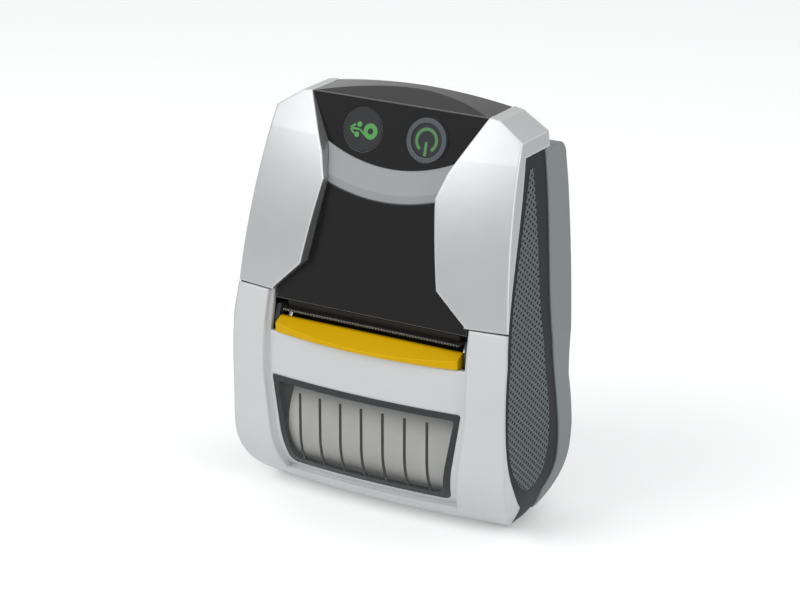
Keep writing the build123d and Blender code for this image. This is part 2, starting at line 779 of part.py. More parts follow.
# Release lever: a sloping bar with a bowed lip and an ear at each end
with BuildPart() as release_lever:
    with BuildSketch(Plane.YZ.offset(-LEVER_HALF)):
        with BuildLine():
            Polyline(
                side(LEVER_TOP[0], LEVER_TOP[1]),
                side(-1.0, lean((LEVER_TOP[1], LEVER_TOP[0]), (55.9, 0), -1.0)),
                side(-1.0, LEVER_FLOOR),
                side(7.4, LEVER_FLOOR),
                side(7.4, LEVER_TOP[1]),
                close=True,
            )
        make_face()
    extrude(amount=2 * LEVER_HALF)
    with BuildSketch(Plane.XY.offset(40)):
        with Locations((0, FRONT + LEVER_BOW)):
            Circle(LEVER_BOW)
    extrude(amount=40, mode=Mode.INTERSECT)
    for start in (LEVER_HALF - LEVER_EAR_WALL, -LEVER_HALF):
        add(rod(*LEVER_PIVOT, LEVER_EAR_RADIUS, start, start + LEVER_EAR_WALL))
        add(box((start, start + LEVER_EAR_WALL), (LEVER_PIVOT[0] - 1.2, LEVER_PIVOT[0] + 0.2), (LEVER_PIVOT[1], LEVER_FLOOR + 0.5)))
    add(rod(*LEVER_PIVOT, LEVER_PIN_RADIUS + RUN_FIT, -60, 60), mode=Mode.SUBTRACT)
write(release_lever, "release_lever")

# Platen: shaft, rubber sleeve and gear


def gear(teeth, phase, bore):
    """Involute spur gear about the local Z axis, turned by phase in degrees."""
    pitch = MODULE * teeth / 2
    base = pitch * cos(radians(20))
    tip = pitch + 0.9 * MODULE
    root = pitch - 1.2 * MODULE
    spread = tan(radians(20)) - radians(20)
    half_tooth = pi / (2 * teeth) - BACKLASH / (2 * pitch)
    flank = [(root, half_tooth + spread)]
    for step in range(4):
        radius = max(base, root) + (tip - max(base, root)) * step / 3
        roll = sqrt(max(0.0, (radius / base) ** 2 - 1))
        flank.append((radius, half_tooth + spread - (roll - atan2(roll, 1))))
    outline = []
    for tooth in range(teeth):
        middle = radians(phase) + 2 * pi * tooth / teeth
        outline += [(radius * cos(middle - angle), radius * sin(middle - angle)) for radius, angle in flank]
        outline += [(radius * cos(middle + angle), radius * sin(middle + angle)) for radius, angle in flank[::-1]]
    with BuildPart() as wheel:
        with BuildSketch():
            Polygon(*outline, align=None)
            if bore:
                Circle(bore, mode=Mode.SUBTRACT)
        extrude(amount=GEAR_WIDTH)
    return wheel.part


with BuildPart() as platen_shaft:
    add(rod(PLATEN_DEPTH, PLATEN_HEIGHT, SHAFT_RADIUS, -FRAME_X - FRAME_WALL - 0.8, GEAR_X + GEAR_WIDTH))
write(platen_shaft, "platen_shaft")
with BuildPart() as platen_rubber:
    add(rod(PLATEN_DEPTH, PLATEN_HEIGHT, PLATEN_RADIUS, -PLATEN_HALF, PLATEN_HALF))
    add(rod(PLATEN_DEPTH, PLATEN_HEIGHT, SHAFT_RADIUS, -60, 60), mode=Mode.SUBTRACT)
write(platen_rubber, "platen_rubber")

# Drive: platen gear, idler and motor pinion in one line of mesh, with real teeth
idler_distance = MODULE * (PLATEN_TEETH + IDLER_TEETH) / 2 + 0.06
pinion_distance = MODULE * (IDLER_TEETH + PINION_TEETH) / 2 + 0.06
opening = atan2(HINGE_DEPTH - PLATEN_DEPTH, PLATEN_HEIGHT - HINGE_HEIGHT)
idler_place = (PLATEN_DEPTH + idler_distance * cos(opening), PLATEN_HEIGHT + idler_distance * sin(opening))
pinion_turn = radians(PINION_ANGLE)
pinion_place = (
    idler_place[0] + pinion_distance * cos(pinion_turn),
    idler_place[1] + pinion_distance * sin(pinion_turn),
)


def wheel_on_x(teeth, place, first_tooth, bore):
    """A gear standing on X at a place of the side view, one tooth at an angle from the rear."""
    body = gear(teeth, 0, bore)
    turned = Rot(degrees(first_tooth), 0, 0) * Rot(0, 90, 0) * Rot(0, 0, 90) * body
    return Pos(GEAR_X, FRONT + place[0], place[1]) * turned


platen_wheel = wheel_on_x(PLATEN_TEETH, (PLATEN_DEPTH, PLATEN_HEIGHT), opening, SHAFT_RADIUS)
with BuildPart() as platen_gear:
    add(platen_wheel)
write(platen_gear, "platen_gear")
idler_wheel = wheel_on_x(IDLER_TEETH, idler_place, opening + pi + pi / IDLER_TEETH, 1.0 + RUN_FIT)
with BuildPart() as idler_gear:
    add(idler_wheel)
write(idler_gear, "idler_gear")
with BuildPart() as idler_pin:
    add(rod(*idler_place, 1.0, CHASSIS_X + CHASSIS_WALL, GEAR_X + GEAR_WIDTH + 0.6))
    add(rod(*idler_place, 2.2, CHASSIS_X + CHASSIS_WALL, GEAR_X - 0.2))
write(idler_pin, "idler_pin")
past_tooth = (pinion_turn - opening - pi - pi / IDLER_TEETH) % (2 * pi / IDLER_TEETH)
pinion_tooth = pinion_turn + pi + past_tooth * IDLER_TEETH / PINION_TEETH + pi / PINION_TEETH
pinion_wheel = wheel_on_x(PINION_TEETH, pinion_place, pinion_tooth, 0)
with BuildPart() as motor_pinion:
    add(pinion_wheel)
    add(rod(*pinion_place, 1.0, CHASSIS_X - 0.6, GEAR_X))
write(motor_pinion, "motor_pinion")
with BuildPart() as drive_motor:
    add(rod(*pinion_place, MOTOR_RADIUS, CHASSIS_X - MOTOR_LENGTH - 0.1, CHASSIS_X - 0.1))
    add(rod(*pinion_place, 1.0 + RUN_FIT, CHASSIS_X - 1.2, CHASSIS_X + 1), mode=Mode.SUBTRACT)
write(drive_motor, "drive_motor")

# Print chassis: side plates with notches for the platen's bushes, and a web behind the head
notch_run = (cos(opening), sin(opening))
with BuildPart() as print_chassis:
    with BuildSketch(Plane.YZ.offset(CHASSIS_X)):
        with BuildLine():
            Polyline(
                side(9.9, 46.1),
                side(9.9, 58),
                side(13, 63.8),
                side(38.2, 63.8),
                side(38.2, 50),
                side(34, 46.1),
                close=True,
            )
        make_face()
        with BuildLine():
            Polyline(
                side(PLATEN_DEPTH - notch_run[1] * 3.3, PLATEN_HEIGHT + notch_run[0] * 3.3),
                side(PLATEN_DEPTH + notch_run[1] * 3.3, PLATEN_HEIGHT - notch_run[0] * 3.3),
                side(
                    PLATEN_DEPTH + notch_run[1] * 3.7 - notch_run[0] * 6,
                    PLATEN_HEIGHT - notch_run[0] * 3.7 - notch_run[1] * 6,
                ),
                side(
                    PLATEN_DEPTH - notch_run[1] * 3.7 - notch_run[0] * 6,
                    PLATEN_HEIGHT + notch_run[0] * 3.7 - notch_run[1] * 6,
                ),
                close=True,
            )
        make_face(mode=Mode.SUBTRACT)
        with Locations(side(PLATEN_DEPTH, PLATEN_HEIGHT)):
            Circle(BUSH_RADIUS + 0.3, mode=Mode.SUBTRACT)
        with Locations(side(*pinion_place)):
            Circle(2.4, mode=Mode.SUBTRACT)
    extrude(amount=CHASSIS_WALL)
    mirror(about=Plane.YZ)
    add(box((-CHASSIS_X, CHASSIS_X), (21.6, 22.6), (46.4, 50.0)))
    add(box((-CHASSIS_X, CHASSIS_X), (20.6, 21.6), (46.4, 60.0)))
    add(box((-CHASSIS_X, CHASSIS_X), (13, 22.6), (62.9, 63.8)))
write(print_chassis, "print_chassis")

with BuildPart() as printhead:
    add(box((-29.4, 29.4), (PLATEN_DEPTH + PLATEN_RADIUS + 0.12, PLATEN_DEPTH + PLATEN_RADIUS + 1.0), (46.6, 58)))
write(printhead, "printhead")
with BuildPart() as heat_sink:
    add(box((-29.4, 29.4), (PLATEN_DEPTH + PLATEN_RADIUS + 1.0, PLATEN_DEPTH + PLATEN_RADIUS + 2.2), (46.6, 60)))
write(heat_sink, "heat_sink")
with BuildPart() as head_springs:
    for x in (-19, 0, 19):
        for step in range(2):
            with Locations(Pos(x, FRONT + PLATEN_DEPTH + PLATEN_RADIUS + 2.45 + 0.5 * step, 52) * Rot(90, 0, 0)):
                Torus(1.6, 0.25)
write(head_springs, "head_springs")

# Tear bar: a toothed strip under the fascia's lip, on a plastic holder
with BuildPart() as tear_bar:
    with BuildSketch(Plane.XY.offset(61.2)):
        with BuildLine():
            teeth = 62
            pitch = 2 * 31.0 / teeth
            edge = []
            for number in range(teeth):
                edge.append((-31.0 + number * pitch, FRONT + 6.3))
                edge.append((-31.0 + (number + 0.5) * pitch, FRONT + 5.7))
            edge.append((31.0, FRONT + 6.3))
            Polyline(*edge, (31.0, FRONT + 11.2), (-31.0, FRONT + 11.2), close=True)
        make_face()
    extrude(amount=0.5)
write(tear_bar, "tear_bar")
with BuildPart() as tear_holder:
    with BuildSketch(Plane.YZ.offset(-CHASSIS_X + 0.1)):
        with BuildLine():
            Polyline(
                side(8.6, 61.75),
                side(7.6, 64.0),
                side(12.6, 64.6),
                side(12.9, 61.75),
                close=True,
            )
        make_face()
    extrude(amount=2 * CHASSIS_X - 0.2)
write(tear_holder, "tear_holder")

# Buttons: caps held by flanges behind the button panel, over a key pad
normal_drop = FASCIA_WALL + 0.15


def button_cap(x, radius, proud):
    """A button's cap with the flange that keeps it in, its axis square to the panel."""
    plane = button_plane(x)
    with BuildPart() as cap:
        with BuildSketch(plane.offset(-normal_drop - FLANGE_WALL)):
            Circle(radius)
        extrude(amount=normal_drop + FLANGE_WALL + proud)
        with BuildSketch(plane.offset(-normal_drop - FLANGE_WALL)):
            Circle(radius + FLANGE_WIDTH)
        extrude(amount=FLANGE_WALL)
        with BuildSketch(plane.offset(-normal_drop - FLANGE_WALL - 1.4)):
            Circle(2.0)
        extrude(amount=1.6)
    return cap.part


def button_disc(radius, low, high):
    """A disc on the power button's plane, between two heights over the panel."""
    with BuildPart() as disc:
        with BuildSketch(button_plane(BUTTON_X).offset(low)):
            Circle(radius)
        extrude(amount=high - low)
    return disc.part


feed_cap = button_cap(-BUTTON_X, FEED_RADIUS, 0.1)
power_cap = button_cap(BUTTON_X, POWER_RADIUS, 0.9)
power_well = button_disc(POWER_DISC_RADIUS, 0.0, 3.0)
power_lens = button_disc(POWER_DISC_RADIUS - 0.02, 0.0, 0.6)
with BuildPart() as feed_button:
    add(feed_cap)
write(feed_button, "feed_button")
with BuildPart() as power_button:
    add(power_cap)
    add(power_well, mode=Mode.SUBTRACT)
write(power_button, "power_button")
with BuildPart() as power_disc:
    add(power_lens)
write(power_disc, "power_disc")
pad_drop = normal_drop + FLANGE_WALL + 1.4 + BUTTON_TRAVEL + 0.2
with BuildPart() as key_pad:
    with BuildSketch(button_plane(0).offset(-pad_drop - 1.0)):
        RectangleRounded(42, 13, 2)
    extrude(amount=1.0)
write(key_pad, "key_pad")

# Main board behind the fascia
with BuildPart() as main_board:
    add(box((-BOARD_HALF, BOARD_HALF), (BOARD_DEPTH, BOARD_DEPTH + BOARD_THICKNESS), (BOARD_LOW, BOARD_HIGH)))
write(main_board, "main_board")

# Battery latch over the battery
with BuildPart() as battery_latch:
    add(outer_form)
    add(box((-LATCH_HALF, LATCH_HALF), (45.4, 70), (LATCH_LOW, LATCH_HIGH)), mode=Mode.INTERSECT)
write(battery_latch, "battery_latch")

# Port on the left side, behind its flap
flap_inner = body_form(FLAP_WALL)
with BuildPart() as port_flap:
    add(outer_form)
    add(box((-60, -30), (FLAP_FRONT, FLAP_REAR), (FLAP_LOW, FLAP_HIGH)), mode=Mode.INTERSECT)
    add(flap_inner, mode=Mode.SUBTRACT)
write(port_flap, "port_flap")
with BuildPart() as port_socket:
    add(box((-42.0, -36.0), (FLAP_FRONT - 0.2, FLAP_REAR - 0.6), (FLAP_LOW + 1, FLAP_HIGH - 1)))
    add(box((-60, -38.0), (FLAP_FRONT + 1.0, FLAP_FRONT + 4.0), (FLAP_LOW + 4.5, FLAP_HIGH - 4.5)), mode=Mode.SUBTRACT)
write(port_socket, "port_socket")
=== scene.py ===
# %% [markdown]
# The solids of the printer arrive ready made, as a fixed frame.
# They could be modelled again here, but a second version would drift from the first. So the
# frame is loaded first, and every piece made below takes its place and size from it.
# The box of the whole frame is kept, because nothing may grow past it.

# %% Load the frame
import bpy
import json
from math import cos, pi, radians, sin
from mathutils import Matrix, Vector


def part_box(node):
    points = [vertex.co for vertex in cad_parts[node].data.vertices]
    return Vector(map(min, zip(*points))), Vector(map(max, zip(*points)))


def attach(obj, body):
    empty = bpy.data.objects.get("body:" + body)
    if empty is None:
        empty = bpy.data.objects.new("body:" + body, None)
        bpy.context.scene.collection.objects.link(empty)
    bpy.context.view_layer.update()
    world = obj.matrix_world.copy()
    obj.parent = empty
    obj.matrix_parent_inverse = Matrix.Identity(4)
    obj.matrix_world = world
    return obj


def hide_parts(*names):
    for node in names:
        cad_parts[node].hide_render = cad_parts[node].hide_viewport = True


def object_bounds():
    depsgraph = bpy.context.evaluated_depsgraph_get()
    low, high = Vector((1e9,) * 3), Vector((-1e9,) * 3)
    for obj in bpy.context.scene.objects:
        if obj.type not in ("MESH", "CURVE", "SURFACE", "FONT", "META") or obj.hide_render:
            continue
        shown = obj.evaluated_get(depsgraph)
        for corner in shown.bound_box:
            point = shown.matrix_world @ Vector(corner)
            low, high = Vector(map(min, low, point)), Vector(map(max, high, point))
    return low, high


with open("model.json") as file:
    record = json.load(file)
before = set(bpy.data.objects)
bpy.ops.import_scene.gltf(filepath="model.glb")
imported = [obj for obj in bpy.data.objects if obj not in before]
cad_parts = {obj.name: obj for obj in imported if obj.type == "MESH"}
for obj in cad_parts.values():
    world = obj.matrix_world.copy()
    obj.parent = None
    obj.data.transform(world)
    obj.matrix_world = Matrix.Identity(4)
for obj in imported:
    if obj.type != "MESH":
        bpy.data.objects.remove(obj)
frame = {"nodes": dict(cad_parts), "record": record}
cad_box = [list(corner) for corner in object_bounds()]
MM = 0.001
print("frame holds", len(frame["nodes"]), "nodes")
print("from", cad_box[0], "to", cad_box[1], "metres")

# %% [markdown]
# A product is often shown from a little above and from one side, so that three of its faces are
# seen. The camera could be aimed by eye. Here its place and turn are numbers, worked out from
# pairs of points that mirror each other on the front. It looks down by twenty degrees, and its
# long lens keeps the upright edges almost parallel.

# %% Camera
CAMERA_PLACE = (0.3759, -0.6309, 0.3337)
CAMERA_TILT = radians(69.86)
CAMERA_TURN = radians(30.80)
CAMERA_LENS = 115.2
SENSOR_WIDTH = 36

camera_data = bpy.data.cameras.new("camera")
camera_data.lens = CAMERA_LENS
camera_data.sensor_width = SENSOR_WIDTH
camera = bpy.data.objects.new("camera", camera_data)
camera.location = CAMERA_PLACE
camera.rotation_euler = (CAMERA_TILT, 0, CAMERA_TURN)
bpy.context.scene.collection.objects.link(camera)
bpy.context.scene.camera = camera
bpy.context.scene.view_settings.view_transform = "Standard"
print("camera at", CAMERA_PLACE, "with a lens of", CAMERA_LENS, "mm")

# %% [markdown]
# A finish that looks real needs a little maths: noise is added to the gloss, and a mask is
# multiplied. That could be wired by hand, node by node, but it reads badly as a list of links and
# well as a sum. The class below wraps the output of a node, so that Python's own operators add
# Math nodes behind it.

# %% Shader maths as Python
class Signal:
    """The output of a node, which can be added, subtracted and multiplied."""

    def __init__(self, tree, socket):
        self.tree = tree
        self.socket = socket

    def math(self, operation, first, second):
        return self.tree.node("ShaderNodeMath", {"operation": operation}, {0: first, 1: second})

    def __add__(self, other):
        return self.math("ADD", self, other)

    def __radd__(self, other):
        return self.math("ADD", other, self)

    def __sub__(self, other):
        return self.math("SUBTRACT", self, other)

    def __rsub__(self, other):
        return self.math("SUBTRACT", other, self)

    def __mul__(self, other):
        return self.math("MULTIPLY", self, other)

    def __rmul__(self, other):
        return self.math("MULTIPLY", other, self)


print("shader maths ready")

# %% [markdown]
# Every other node comes from one method, which takes the kind of node, its settings and what goes
# into its sockets. A finish is such a tree of nodes that ends in a Principled shader. Its patterns
# read Object coordinates, so a pattern stays on its piece when the piece moves.

# %% A tree of nodes, and a finish
class Tree:
    """A node tree in which one method makes any node."""

    def __init__(self, node_tree):
        self.nodes = node_tree.nodes
        self.links = node_tree.links

    def node(self, kind, settings=None, inputs=None, output=0):
        made = self.nodes.new(kind)
        for key, value in (settings or {}).items():
            setattr(made, key, value)
        self.feed(made, inputs or {})
        return Signal(self, made.outputs[output])

    def feed(self, made, inputs):
        for key, value in inputs.items():
            if isinstance(value, Signal):
                self.links.new(value.socket, made.inputs[key])
            else:
                made.inputs[key].default_value = value


class Finish(Tree):
    """A material, seen as the tree in front of its Principled shader."""

    def __init__(self, name):
        self.material = bpy.data.materials.new(name)
        self.material.use_nodes = True
        super().__init__(self.material.node_tree)
        self.shader = self.nodes["Principled BSDF"]
        self.place = self.node("ShaderNodeTexCoord", output="Object")

    def noise(self, size, detail=2.0):
        """Noise whose lumps are about size metres across."""
        inputs = {"Vector": self.place, "Scale": 1 / size, "Detail": detail}
        return self.node("ShaderNodeTexNoise", inputs=inputs)

    def mix(self, factor, first, second):
        """First colour where factor is 0, second where it is 1."""
        inputs = {"Factor": factor, 6: first, 7: second}
        return self.node("ShaderNodeMix", {"data_type": "RGBA"}, inputs, output=2)

    def set(self, **inputs):
        self.feed(self.shader, {key.replace("_", " "): value for key, value in inputs.items()})


print("a finish can be made by its name")

# %% [markdown]
# Hardly any edge of a moulding is sharp: light runs along a small round on each of them. Rounds
# could be cut with a bevel, but on these solids, which are loose triangles, a bevel puckers.
# The Bevel node bends the shading normal over the round instead, so each finish gets the radius
# that its pieces have. Where the bent normal differs from the true one the surface is an edge, and
# the same difference paints the edge a paler colour: partly wear where hands rub it, and partly a
# painted highlight along the edge.

# %% Rounded edges, their wear and their painted highlight
BEVEL_SAMPLES = 6


def edge_normal(finish, radius):
    return finish.node("ShaderNodeBevel", {"samples": BEVEL_SAMPLES}, {"Radius": radius})


def wear_and_highlight_mask(finish, normal, strength):
    """1 on an edge, which takes worn colour and a painted highlight, 0 on a flat face."""
    true_normal = finish.node("ShaderNodeNewGeometry", output="Normal")
    dot = {"operation": "DOT_PRODUCT"}
    along = finish.node("ShaderNodeVectorMath", dot, {0: normal, 1: true_normal}, output="Value")
    clamped = {"operation": "MULTIPLY", "use_clamp": True}
    return finish.node("ShaderNodeMath", clamped, {0: 1 - along, 1: strength})


print("edges are rounded with", BEVEL_SAMPLES, "samples")

# %% [markdown]
# Nearly every surface here is moulded or painted, and such surfaces differ in few things: colour,
# gloss, the size and depth of the grain, and the paler colour of the edges, partly wear and partly
# painted highlight. Each could have a tree of its own, but one recipe keeps them alike where they
# are alike in the hand. Large faint clouds vary the tone and the gloss, and fine pits give the grain.

# %% One recipe for moulded and painted surfaces
CLOUD_SIZE = 18 * MM
CLOUD_DETAIL = 3.0
SHADE = 0.86


def moulded(name, color, wear_and_highlight_color, roughness, grain, depth, edge=0.4, spread=0.06, wear_and_highlight_weight=1.5, **constants):
    """Make one finish.

    Grain, depth and edge are sizes in millimetres, and spread is how far the gloss wanders. The
    paler edge colour stands partly for wear and partly for a painted highlight, and its weight is how
    strongly an edge takes it.
    """
    finish = Finish(name)
    normal = edge_normal(finish, edge * MM)
    clouds = finish.noise(CLOUD_SIZE, detail=CLOUD_DETAIL)
    pits = finish.noise(grain * MM)
    shade = [channel * SHADE for channel in color]
    tone = finish.mix(0.5 * clouds + 0.5 * pits, (*shade, 1), (*color, 1))
    bump = {"Strength": 1.0, "Distance": depth * MM, "Height": pits, "Normal": normal}
    finish.set(
        Base_Color=finish.mix(wear_and_highlight_mask(finish, normal, wear_and_highlight_weight), tone, (*wear_and_highlight_color, 1)),
        Roughness=roughness + (clouds - 0.5) * spread + (pits - 0.5) * spread,
        Normal=finish.node("ShaderNodeBump", inputs=bump),
        **constants,
    )
    return finish


finishes = {}
print("clouds are", CLOUD_SIZE / MM, "mm across")

# %% [markdown]
# The two cheeks are sprayed in silver, and the cover in a paler one. Silver paint holds flakes of
# metal in a clear coat. Each flake could be drawn, but from arm's length they melt into a wide soft
# shine. So the shader is mostly metal on the cheeks and a little on the cover, with a fine grain.

# %% Silver paints
# The pale edge colour, strongly weighted on the cheeks, is a painted highlight along their rounded
# rims.
finishes["silver_paint"] = moulded(
    "silver paint", color=(0.47, 0.482, 0.485), wear_and_highlight_color=(0.74, 0.74, 0.74),
    roughness=0.35, grain=0.3, depth=0.02, edge=1.0, wear_and_highlight_weight=7, Metallic=0.8, Specular_IOR_Level=0.3,
)
finishes["cover_paint"] = moulded(
    "pale silver paint", color=(0.66, 0.674, 0.677), wear_and_highlight_color=(0.76, 0.76, 0.76),
    roughness=0.42, grain=0.3, depth=0.012, edge=1.2, Metallic=0.25, Specular_IOR_Level=0.3,
)
print("silver paints made")

# %% [markdown]
# The fascia is polished black plastic, and the band on its step is a grey diffuser that a lamp
# inside lights up. The keys and the window's rim are darker and duller. Black could be written
# as zero, but no plastic is that black, and a value just above it keeps some shape in the shade.
# A low Specular IOR Level keeps the pale room from washing the black out.

# %% Fascia, band, keys and window rim
# The pale edge colour, strongly weighted here, paints the bright highlight along the fascia's crease.
finishes["gloss_black"] = moulded(
    "gloss black", color=(0.0075, 0.0075, 0.008), wear_and_highlight_color=(0.3, 0.3, 0.3),
    roughness=0.2, grain=2.4, depth=0.002, edge=0.3, spread=0.03, wear_and_highlight_weight=6, Specular_IOR_Level=0.22,
)
finishes["band_grey"] = moulded(
    "grey diffuser", color=(0.33, 0.345, 0.352), wear_and_highlight_color=(0.40, 0.41, 0.42),
    roughness=0.38, grain=0.5, depth=0.002, edge=0.2, Specular_IOR_Level=0.3,
)
finishes["button_grey"] = moulded(
    "dark key", color=(0.027, 0.029, 0.032), wear_and_highlight_color=(0.07, 0.07, 0.075),
    roughness=0.4, grain=0.3, depth=0.004, edge=0.3, Specular_IOR_Level=0.22,
)
finishes["ring_grey"] = moulded(
    "blue grey key", color=(0.060, 0.070, 0.084), wear_and_highlight_color=(0.1, 0.11, 0.13),
    roughness=0.36, grain=0.3, depth=0.004, edge=0.3,
)
finishes["window_dark"] = moulded(
    "dark window rim", color=(0.034, 0.039, 0.041), wear_and_highlight_color=(0.09, 0.1, 0.1),
    roughness=0.25, grain=1.5, depth=0.002, edge=0.3, Specular_IOR_Level=0.25,
)
print("front finishes made")

# %% [markdown]
# The sides are a matt black frame with a grip of grey rubber, the rear is a textured grey shell,
# and the lever is yellow all the way through. Texture on such plastic comes from the mould. It
# could be sculpted, but it is a few hundredths of a millimetre deep, so a Bump node is enough.

# %% Side frame, grip, rear shell and lever
finishes["frame_grey"] = moulded(
    "dark side frame", color=(0.014, 0.016, 0.018), wear_and_highlight_color=(0.05, 0.05, 0.05),
    roughness=0.45, grain=0.3, depth=0.008, edge=0.6, Specular_IOR_Level=0.12,
)
finishes["grip_rubber"] = moulded(
    "grey grip rubber", color=(0.115, 0.135, 0.14), wear_and_highlight_color=(0.17, 0.19, 0.19),
    roughness=0.62, grain=0.2, depth=0.01, edge=0.15, Specular_IOR_Level=0.3,
)
finishes["shell_grey"] = moulded(
    "mid grey shell", color=(0.205, 0.228, 0.228), wear_and_highlight_color=(0.27, 0.29, 0.29),
    roughness=0.5, grain=0.35, depth=0.012, edge=0.8,
)
# The paler yellow on the lever's edges, strongly weighted, is a painted highlight along its lip.
finishes["lever_yellow"] = moulded(
    "yellow lever", color=(0.74, 0.43, 0.0005), wear_and_highlight_color=(0.9, 0.62, 0.004),
    roughness=0.42, grain=0.4, depth=0.006, edge=0.5, wear_and_highlight_weight=5, Specular_IOR_Level=0.1,
)
print("side, rear and lever finishes made")

# %% [markdown]
# Behind the window lies the paper roll on its core. Paper is matt and finely fibred. Its ends
# could carry a ring for every turn, but the turns are thinner than a pixel here, so a fine grain
# stands for them.

# %% Paper and core
finishes["paper_white"] = moulded(
    "thermal paper", color=(0.80, 0.80, 0.77), wear_and_highlight_color=(0.85, 0.85, 0.82),
    roughness=0.75, grain=0.25, depth=0.01, edge=0.2,
)
finishes["core_plastic"] = moulded(
    "roll core", color=(0.3, 0.3, 0.3), wear_and_highlight_color=(0.4, 0.4, 0.4), roughness=0.5, grain=0.4, depth=0.006,
)
print("paper finishes made")

# %% [markdown]
# The print chassis and springs are bright steel, the heat sink is plain aluminium, and the motor
# has a plated case. All three could share one metal, but steel is darker and shines more sharply
# than aluminium, and that is how a reader tells them apart when the cover is open.

# %% Metals
METAL = {"Metallic": 1.0}
finishes["steel"] = moulded(
    "sheet steel", color=(0.56, 0.56, 0.57), wear_and_highlight_color=(0.75, 0.75, 0.75),
    roughness=0.3, grain=0.25, depth=0.003, edge=0.15, **METAL,
)
finishes["sink_aluminium"] = moulded(
    "plain aluminium", color=(0.62, 0.62, 0.63), wear_and_highlight_color=(0.8, 0.8, 0.8),
    roughness=0.38, grain=0.3, depth=0.004, edge=0.15, **METAL,
)
finishes["motor_case"] = moulded(
    "plated motor case", color=(0.42, 0.42, 0.43), wear_and_highlight_color=(0.6, 0.6, 0.6),
    roughness=0.32, grain=0.6, depth=0.002, edge=0.2, **METAL,
)
print("metals made")

# %% [markdown]
# The small parts inside are what such machines use: natural acetal gears, black acetal bushes,
# a rubber platen, a glazed ceramic strip, a green board and a soft pad under the keys. They are
# seen only with the cover open. They could be left plain, but the same recipe costs nothing more.

# %% Parts inside
finishes["platen_rubber"] = moulded(
    "platen rubber", color=(0.022, 0.022, 0.023), wear_and_highlight_color=(0.04, 0.04, 0.04),
    roughness=0.6, grain=0.3, depth=0.01,
)
finishes["gear_white"] = moulded(
    "natural acetal", color=(0.72, 0.71, 0.66), wear_and_highlight_color=(0.8, 0.8, 0.76),
    roughness=0.45, grain=0.5, depth=0.003, edge=0.1,
)
finishes["bush_black"] = moulded(
    "black acetal", color=(0.022, 0.022, 0.023), wear_and_highlight_color=(0.05, 0.05, 0.05),
    roughness=0.45, grain=0.5, depth=0.004, edge=0.15,
)
finishes["head_ceramic"] = moulded(
    "glazed ceramic", color=(0.10, 0.085, 0.065), wear_and_highlight_color=(0.16, 0.14, 0.11),
    roughness=0.2, grain=1.0, depth=0.001, edge=0.1,
)
finishes["board_green"] = moulded(
    "circuit board", color=(0.015, 0.12, 0.055), wear_and_highlight_color=(0.1, 0.2, 0.12),
    roughness=0.4, grain=0.8, depth=0.004, edge=0.1,
)
finishes["pad_rubber"] = moulded(
    "key pad silicone", color=(0.42, 0.42, 0.42), wear_and_highlight_color=(0.5, 0.5, 0.5),
    roughness=0.6, grain=0.4, depth=0.006,
)
finishes["well_black"] = moulded(
    "black inner moulding", color=(0.026, 0.028, 0.030), wear_and_highlight_color=(0.05, 0.05, 0.05),
    roughness=0.5, grain=0.35, depth=0.01, edge=0.3,
)
finishes["battery_grey"] = moulded(
    "battery case", color=(0.055, 0.060, 0.062), wear_and_highlight_color=(0.1, 0.1, 0.1),
    roughness=0.46, grain=0.35, depth=0.012, edge=0.6,
)
print("made", len(finishes), "moulded finishes")

# %% [markdown]
# The window is smoked clear plastic, and the roll behind it looks about half as bright as paper in
# the open. It could be glass with refraction, but that is slower and makes the roll darker still.
# A low Alpha lets the view and the light through and keeps the gloss on top. Smudges vary the
# gloss, and the smoke is a little thicker here and there.

# %% Smoked window
SMUDGE_SIZE = 6 * MM
SMOKE_SIZE = 20 * MM
window_finish = Finish("smoked window")
window_finish.set(
    Base_Color=(0.2, 0.205, 0.2, 1),
    Roughness=0.08 + 0.03 * window_finish.noise(SMUDGE_SIZE),
    Alpha=0.12 + 0.04 * window_finish.noise(SMOKE_SIZE),
)
finishes["window_smoke"] = window_finish
print("window finish made")

# %% [markdown]
# The signs on the two keys are printed in green, a bright one on the dark key and a duller one on
# the key in the ring. They could be lit from inside, but with the printer switched off they are
# plain ink, so the recipe serves here too.

# %% Green inks
INK_SURFACE = {"roughness": 0.45, "grain": 0.3, "depth": 0.002, "edge": 0.05}
ink_finish = moulded(
    "green ink", color=(0.075, 0.33, 0.065), wear_and_highlight_color=(0.1, 0.36, 0.09), **INK_SURFACE
)
faded_ink_finish = moulded(
    "dim green ink", color=(0.07, 0.215, 0.065), wear_and_highlight_color=(0.1, 0.24, 0.09), **INK_SURFACE
)
print("inks made")

# %% [markdown]
# Each solid knows from its record which finish it has, so one loop dresses them all, and no list
# has to be kept by hand. Two pieces get a finish of their own: the tear bar is dark, with a painted
# glint of pale colour on the edges of its teeth, and the strip that holds it has a bronzed look.

# %% Dress the solids
own_finishes = {
    "tear_holder": moulded(
        "bronzed holder", color=(0.040, 0.034, 0.024), wear_and_highlight_color=(0.1, 0.09, 0.07),
        roughness=0.5, grain=0.4, depth=0.006, edge=0.2, Specular_IOR_Level=0.3,
    ),
    # The pale colour on the edges of the teeth is a painted glint.
    "tear_bar": moulded(
        "dark tear bar", color=(0.030, 0.029, 0.026), wear_and_highlight_color=(0.75, 0.74, 0.68),
        roughness=0.35, grain=0.3, depth=0.004, edge=0.12, wear_and_highlight_weight=9, spread=0.05, Metallic=0.3,
    ),
}
slot_of = {row["node"]: row["material_slot"] for row in frame["record"]["subparts"]}


def dress(piece, finish):
    piece.data.materials.clear()
    piece.data.materials.append(finish.material)


for node, piece in frame["nodes"].items():
    dress(piece, own_finishes.get(node, finishes[slot_of[node]]))
print("dressed", len(slot_of), "solids")

# %% [markdown]
# The next pieces are modelled as by hand, with the operators of edit mode. An operator works on
# all that is selected, so a few small tools select just what is meant. A finished piece has its
# place in its mesh and its object at the origin, and the last tool does that.

